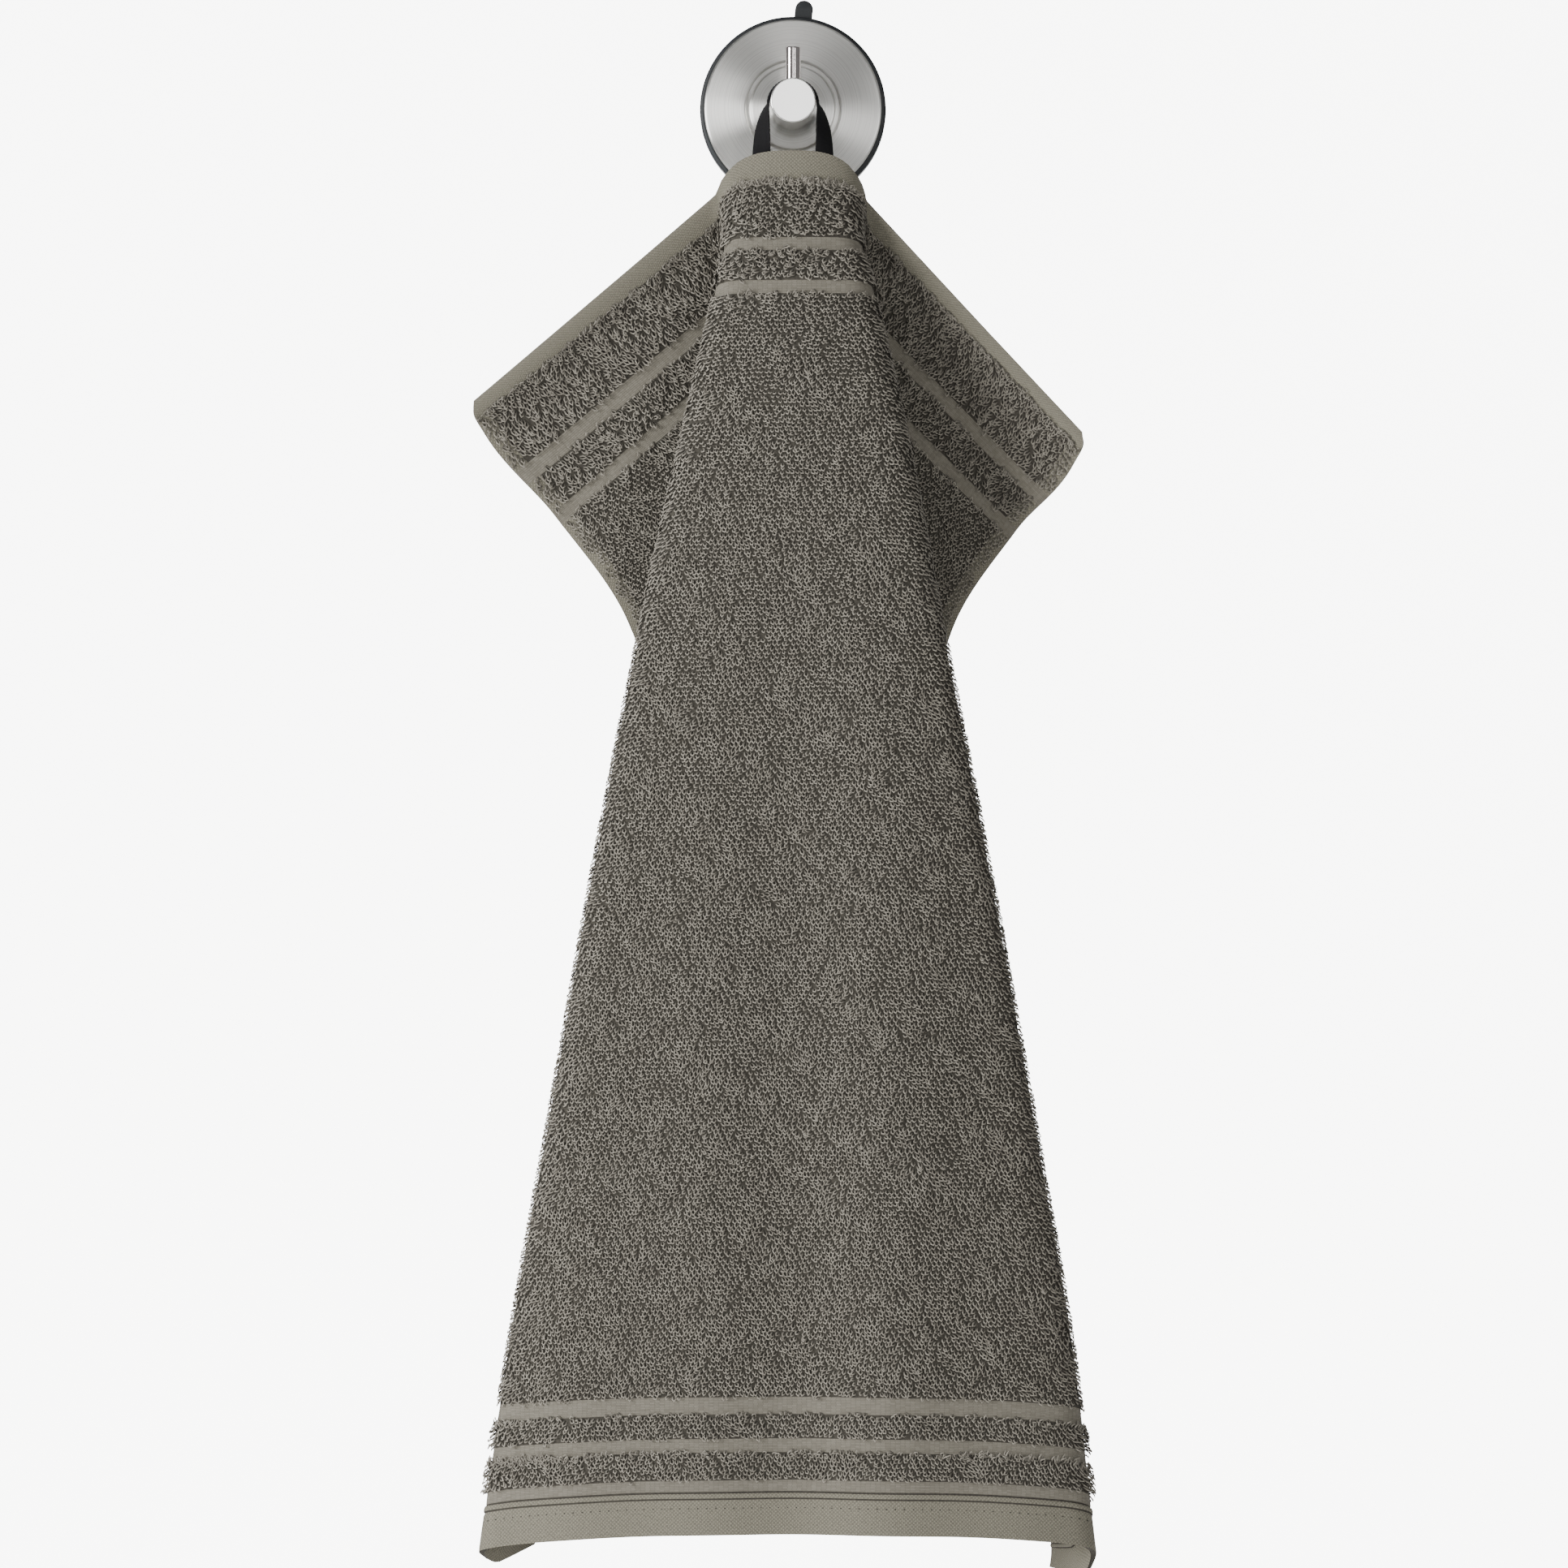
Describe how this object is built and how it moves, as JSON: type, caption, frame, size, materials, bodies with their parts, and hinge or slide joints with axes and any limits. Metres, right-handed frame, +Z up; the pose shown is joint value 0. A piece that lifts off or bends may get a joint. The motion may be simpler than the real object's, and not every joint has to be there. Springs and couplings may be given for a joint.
{
  "type": "guest towel on a wall hook",
  "caption": "Small terry guest towel hung by a tape loop from a round wall hook with a peg and an upright pin, falling in a point with a fold down each side.",
  "frame": {"origin": "where the hook's axis meets the wall, at the middle of the pad's back face", "axes": "+Z up, +Y into the wall, so everything hangs in front of the wall at negative Y"},
  "size_m": [0.225, 0.0593, 0.5727],
  "materials": {
    "terry": "looped pile with flat woven bands and plain hems",
    "tape": "ribbed black tape",
    "rubber": "matt",
    "steel": "brushed round its middle, polished on the pin"
  },
  "bodies": {
    "root": {"towel": "terry", "hanging_loop": "tape", "wall_pad": "rubber", "backplate": "steel", "peg": "steel", "pin": "steel"}
  },
  "joints": []
}
